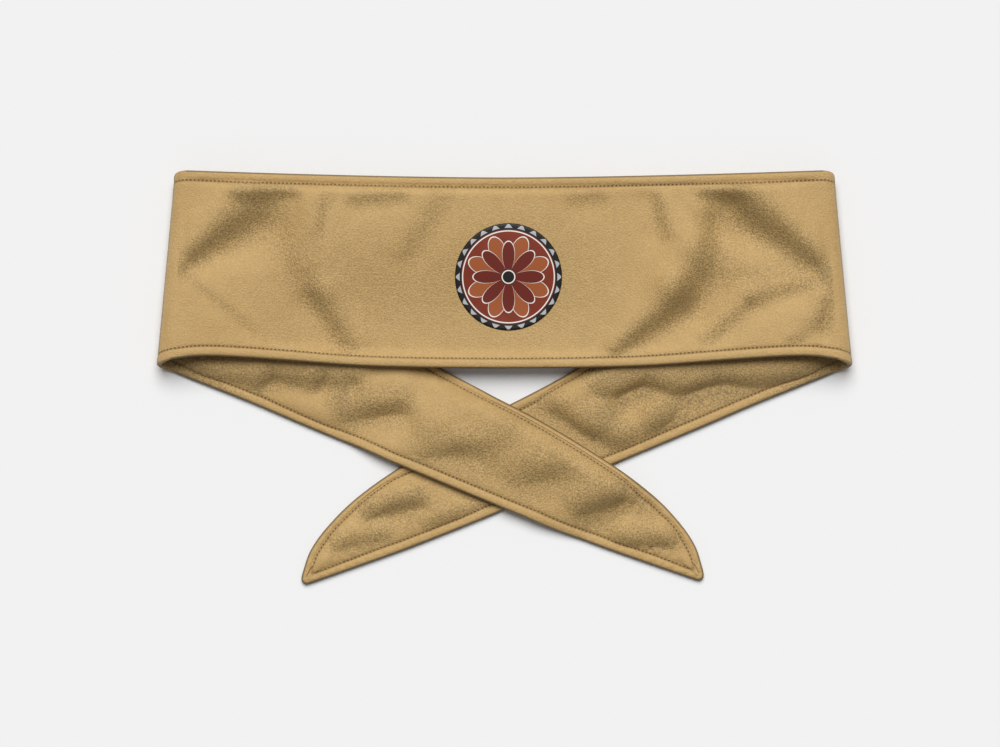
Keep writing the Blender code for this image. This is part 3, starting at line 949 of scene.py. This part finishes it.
bmesh.ops.recalc_face_normals(bm, faces=bm.faces)
print_mesh = bpy.data.meshes.new("medallion_print")
bm.to_mesh(print_mesh)
bm.free()
medallion = bpy.data.objects.new("medallion_print", print_mesh)
bpy.context.scene.collection.objects.link(medallion)

# Plastisol screen ink: flat colours with sharp edges, matt, with the cloth's grain showing through as a
# faint unevenness, and a red that is a little patchy
ink = bpy.data.materials.new("plastisol screen ink")
ink.use_nodes = True
ink.node_tree.nodes.clear()
ink_place = add_node(ink, "TexCoord").outputs["Object"]
centred = add_node(
    ink, "VectorMath", {1: (-PRINT_PLACE[0], -PRINT_PLACE[1], 0)}, {0: ink_place}, operation="ADD"
).outputs["Vector"]
parts = add_node(ink, "SeparateXYZ", {}, {"Vector": centred})
flat = add_node(
    ink, "CombineXYZ", {}, {"X": parts.outputs["X"], "Y": parts.outputs["Y"]}
).outputs["Vector"]
radius = add_node(ink, "VectorMath", {}, {0: flat}, operation="LENGTH").outputs["Value"]
angle = add_node(
    ink, "Math", {}, {0: parts.outputs["Y"], 1: parts.outputs["X"]}, operation="ARCTAN2"
).outputs[0]


def petals(count, turn, inner, outer, roundness):
    """How far inside the edge of a ring of petals a place is, in metres."""
    swing = add_node(
        ink, "Math", {1: count / 2, 2: turn}, {0: angle}, operation="MULTIPLY_ADD"
    ).outputs[0]
    swing = add_node(ink, "Math", {}, {0: swing}, operation="COSINE").outputs[0]
    swing = add_node(ink, "Math", {}, {0: swing}, operation="ABSOLUTE").outputs[0]
    swing = add_node(ink, "Math", {1: roundness}, {0: swing}, operation="POWER").outputs[0]
    edge = add_node(
        ink, "Math", {1: outer - inner, 2: inner}, {0: swing}, operation="MULTIPLY_ADD"
    ).outputs[0]
    return add_node(ink, "Math", {}, {0: edge, 1: radius}, operation="SUBTRACT").outputs[0]


def painted(under, colour, field, low, high):
    """One more ink over the last, where the field is between low and high."""
    above = add_node(
        ink,
        "MapRange",
        {"From Min": low - INK_BLEED, "From Max": low + INK_BLEED},
        {"Value": field},
    ).outputs["Result"]
    below = add_node(
        ink,
        "MapRange",
        {"From Min": high + INK_BLEED, "From Max": high - INK_BLEED},
        {"Value": field},
    ).outputs["Result"]
    mask = add_node(ink, "Math", {}, {0: above, 1: below}, operation="MULTIPLY").outputs[0]
    return add_node(ink, "Mix", {7: srgb(colour)}, {0: mask, 6: under}, data_type="RGBA").outputs[2]


RUST, DEEP_RED, BROWN = 0x8C3A22, 0x6A2418, 0xA0562E
BLACK, WHITE, GREY = 0x1E1A18, 0xF2EEE6, 0xB4B6B8
mottled = add_node(
    ink, "TexNoise", {"Scale": 1 / 0.007, "Detail": 3.0}, {"Vector": ink_place}
).outputs["Fac"]
ground = add_node(
    ink, "Mix", {6: srgb(DEEP_RED), 7: srgb(RUST)}, {0: mottled}, data_type="RGBA"
).outputs[2]
ink_colour = painted(ground, BLACK, radius, BORDER_INNER, 0.03)
ink_colour = painted(ink_colour, WHITE, radius, *BORDER_LINE)
dot_ring = petals(24, 0.0, 0.0216, 0.0236, 3.0)
outside = add_node(ink, "Math", {1: 0.0219}, {0: radius}, operation="SUBTRACT").outputs[0]
points = add_node(ink, "Math", {}, {0: dot_ring, 1: outside}, operation="MINIMUM").outputs[0]
ink_colour = painted(ink_colour, GREY, points, 0.0, 1.0)
wide = petals(8, math.pi / 2, 0.006, 0.0192, 0.7)
ink_colour = painted(ink_colour, BROWN, wide, 0.0, 1.0)
ink_colour = painted(ink_colour, WHITE, wide, *PETAL_LINE)
narrow = petals(8, 0.0, 0.004, 0.0160, 0.8)
ink_colour = painted(ink_colour, DEEP_RED, narrow, 0.0, 1.0)
ink_colour = painted(ink_colour, WHITE, narrow, *PETAL_LINE)
ink_colour = painted(ink_colour, BLACK, radius, -1.0, EYE_RADIUS)
ink_colour = painted(ink_colour, WHITE, radius, *EYE_LINE)
ink_grain = add_node(
    ink, "TexNoise", {"Scale": 1 / GRAIN, "Detail": 2.0}, {"Vector": ink_place}
).outputs["Fac"]
ink_bump = add_node(
    ink, "Bump", {"Strength": 0.4, "Distance": 0.00012}, {"Height": ink_grain}
).outputs["Normal"]
ink_gloss = add_node(
    ink, "MapRange", {"To Min": 0.42, "To Max": 0.6}, {"Value": ink_grain}
).outputs["Result"]
ink_shader = add_node(
    ink,
    "BsdfPrincipled",
    {"IOR": 1.53, "Specular IOR Level": 0.3},
    {"Base Color": ink_colour, "Roughness": ink_gloss, "Normal": ink_bump},
)
add_node(ink, "OutputMaterial", {}, {"Surface": ink_shader.outputs["BSDF"]})
medallion.data.materials.append(ink)
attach(medallion, "root")
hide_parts("printed_emblem")


# Table. A plain pale board, painted a matt white, that the band lies on. It is only a stage, and isn't
# part of the band.
BOARD_WHITE = 0xEFEFEF
BOARD_HALF_SIDE = 4
BOARD_CLEARANCE = 0.0001

bm = bmesh.new()
bmesh.ops.create_grid(bm, x_segments=1, y_segments=1, size=BOARD_HALF_SIDE)
bmesh.ops.translate(bm, verts=bm.verts, vec=(0, 0, -BOARD_CLEARANCE))
table_mesh = bpy.data.meshes.new("table")
bm.to_mesh(table_mesh)
bm.free()
table = bpy.data.objects.new("table", table_mesh)
bpy.context.scene.collection.objects.link(table)

# Matt white board: a chalky face that gives back an even pale grey and no shine
board = bpy.data.materials.new("matt white board")
board.use_nodes = True
board.node_tree.nodes.clear()
board_shader = add_node(
    board,
    "BsdfPrincipled",
    {"Base Color": srgb(BOARD_WHITE), "Roughness": 0.9, "Specular IOR Level": 0.1},
)
add_node(board, "OutputMaterial", {}, {"Surface": board_shader.outputs["BSDF"]})
table.data.materials.append(board)


# Light and camera. Soft daylight from above the band's upper edge, a little from the left, and a camera
# that looks straight down from far enough to keep the band's outline flat.
KEY_HEIGHT = math.radians(57)
KEY_TURN = math.radians(2)
KEY_SIZE = math.radians(42)
KEY_STRENGTH = 3.1
FILL_STRENGTH = 0.2
CAMERA_HEIGHT = 2.5

world = bpy.data.worlds.new("studio")
bpy.context.scene.world = world
world.use_nodes = True
world.node_tree.nodes["Background"].inputs["Color"].default_value = (1, 1, 1, 1)
world.node_tree.nodes["Background"].inputs["Strength"].default_value = FILL_STRENGTH
key = bpy.data.lights.new("daylight", "SUN")
key.energy = KEY_STRENGTH
key.angle = KEY_SIZE
key_light = bpy.data.objects.new("daylight", key)
key_light.rotation_euler = (KEY_HEIGHT - math.pi / 2, 0, KEY_TURN)
bpy.context.scene.collection.objects.link(key_light)

lens = bpy.data.cameras.new("camera")
lens.lens = 200
lens.sensor_width = 36
camera = bpy.data.objects.new("camera", lens)
camera.location = (-0.0020, 0.0018, CAMERA_HEIGHT)
bpy.context.scene.collection.objects.link(camera)
bpy.context.scene.camera = camera
bpy.context.scene.view_settings.view_transform = "Standard"
bpy.context.scene.view_settings.look = "None"
